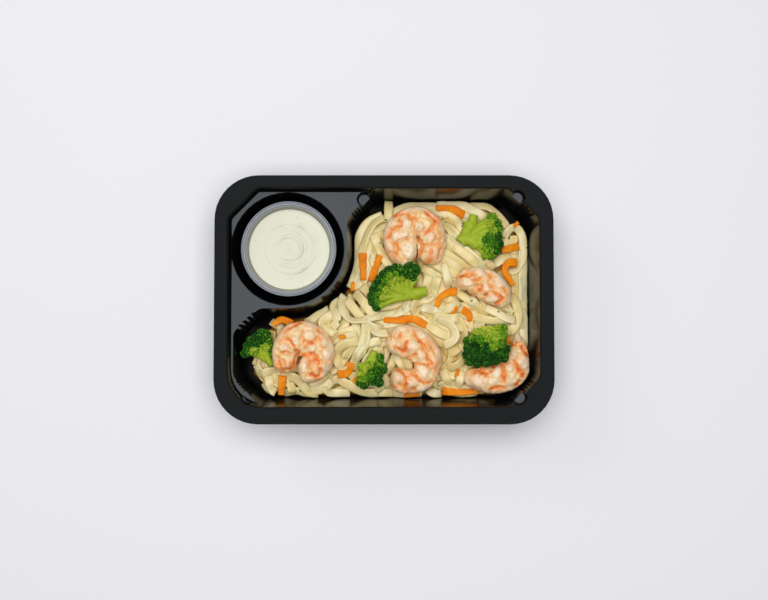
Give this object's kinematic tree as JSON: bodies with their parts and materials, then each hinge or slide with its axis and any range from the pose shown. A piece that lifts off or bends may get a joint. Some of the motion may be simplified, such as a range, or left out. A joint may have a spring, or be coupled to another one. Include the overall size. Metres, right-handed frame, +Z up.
{
  "type": "airline meal tray",
  "caption": "Black thermoformed meal tray of fettuccine with shrimps, broccoli and carrot strips, and a clear cup of creamy dip in its round well.",
  "frame": {"origin": "centre of the tray's outline, on the surface that the tray stands on", "axes": "+X along the tray's length, +Y towards the side with the dip cup, +Z up out of the tray"},
  "size_m": [0.2258, 0.1656, 0.04],
  "materials": {
    "tray": "black polypropylene, matt on the rim and glossy inside",
    "portion_cup": "clear, glossy",
    "dip": "creamy, soft sheen",
    "noodles": "moist and oiled",
    "shrimp": "moist",
    "broccoli": "moist, rough crown",
    "carrot": "moist"
  },
  "bodies": {
    "root": {"tray": "tray", "portion_cup": "portion_cup", "dip": "dip", "noodles": "noodles", "shrimp_1": "shrimp", "shrimp_2": "shrimp", "shrimp_3": "shrimp", "shrimp_4": "shrimp", "shrimp_5": "shrimp", "broccoli_1": "broccoli", "broccoli_2": "broccoli", "broccoli_3": "broccoli", "broccoli_4": "broccoli", "broccoli_5": "broccoli", "carrot_1": "carrot", "carrot_2": "carrot", "carrot_3": "carrot", "carrot_4": "carrot", "carrot_5": "carrot", "carrot_6": "carrot", "carrot_7": "carrot", "carrot_8": "carrot", "carrot_9": "carrot", "carrot_10": "carrot", "carrot_11": "carrot", "carrot_12": "carrot"}
  },
  "joints": []
}
